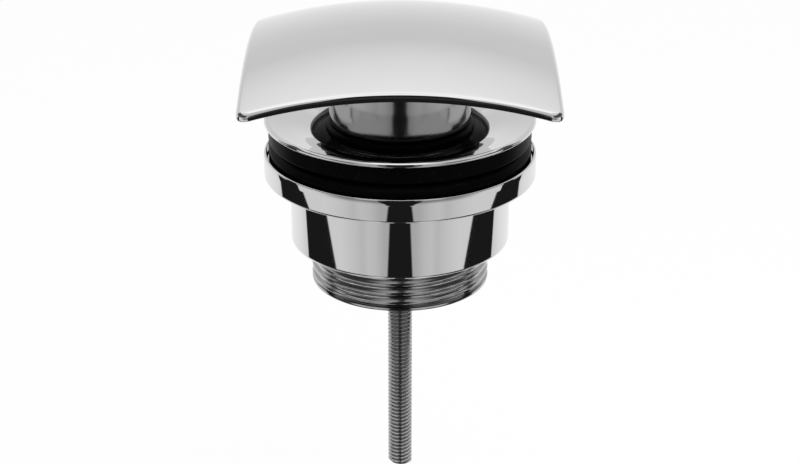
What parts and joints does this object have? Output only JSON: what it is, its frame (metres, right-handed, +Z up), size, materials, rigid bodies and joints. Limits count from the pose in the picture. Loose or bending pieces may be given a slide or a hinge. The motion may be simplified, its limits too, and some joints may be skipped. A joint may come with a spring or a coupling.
{
  "type": "pop up basin waste",
  "caption": "Pop-up basin waste with a square domed push cover on a click plug, a dished flange with rubber gaskets, and a threaded lower body drawn up by a long clamp bolt.",
  "frame": {"origin": "on the waste's axis, in the plane of the basin's surface, which is the underside of the flange's rim", "axes": "+Z up out of the basin along the waste's axis; +X and +Y along the sides of the square cover"},
  "size_m": [0.07, 0.07, 0.1143],
  "materials": {
    "polished_chrome": "mirror-polished chrome plate on brass",
    "satin_chrome": "turned chrome plate with a fine satin lay",
    "rubber": "moulded black rubber, slightly glossy",
    "brass": "bare turned brass",
    "spring_steel": "drawn stainless spring steel",
    "zinc_steel": "rolled steel thread with dull zinc plate",
    "acetal": "moulded natural acetal"
  },
  "bodies": {
    "flange": {"flange": "polished_chrome", "upper_gasket": "rubber", "slip_washer": "acetal"},
    "bolt": {"clamp_bolt": "zinc_steel", "cartridge_barrel": "brass", "barrel_circlip": "spring_steel", "return_spring": "spring_steel"},
    "lower_body": {"lower_body": "polished_chrome", "lower_gasket": "rubber"},
    "plunger": {"plunger": "brass"},
    "plug": {"cover": "polished_chrome", "plug_carrier": "satin_chrome", "plug_seal": "rubber", "carrier_nut": "brass", "plunger_snap_ring": "spring_steel"},
    "guide": {"guide_ring": "acetal", "guide_pin": "spring_steel"}
  },
  "joints": [
    {"name": "bolt_turn", "type": "hinge", "parent": "flange", "child": "bolt", "pos_m": [0, 0, 0], "axis": [0, 0, 1], "range_deg": [0, 16210]},
    {"name": "lower_slide", "type": "slide", "parent": "flange", "child": "lower_body", "axis": [0, 0, 1], "range_m": [-0.045, 0]},
    {"name": "plug_slide", "type": "slide", "parent": "bolt", "child": "plunger", "axis": [0, 0, 1], "range_m": [-0.0102, 0], "stiffness_N_per_m": 300, "springref_m": 0.014, "deforming": ["return_spring"]},
    {"name": "cover_swivel", "type": "hinge", "parent": "plunger", "child": "plug", "pos_m": [0, 0, 0], "axis": [0, 0, 1], "continuous": true},
    {"name": "guide_swing", "type": "hinge", "parent": "bolt", "child": "guide", "pos_m": [0, 0, 0], "axis": [0, 0, 1], "range_deg": [0, 24.5]}
  ],
  "couplings": [
    {"joint": "bolt_turn", "follows": "lower_slide", "rad_per_m": -6283.2},
    {"joint": "guide_swing", "follows": "plug_slide", "rad_per_m": -41.067}
  ]
}
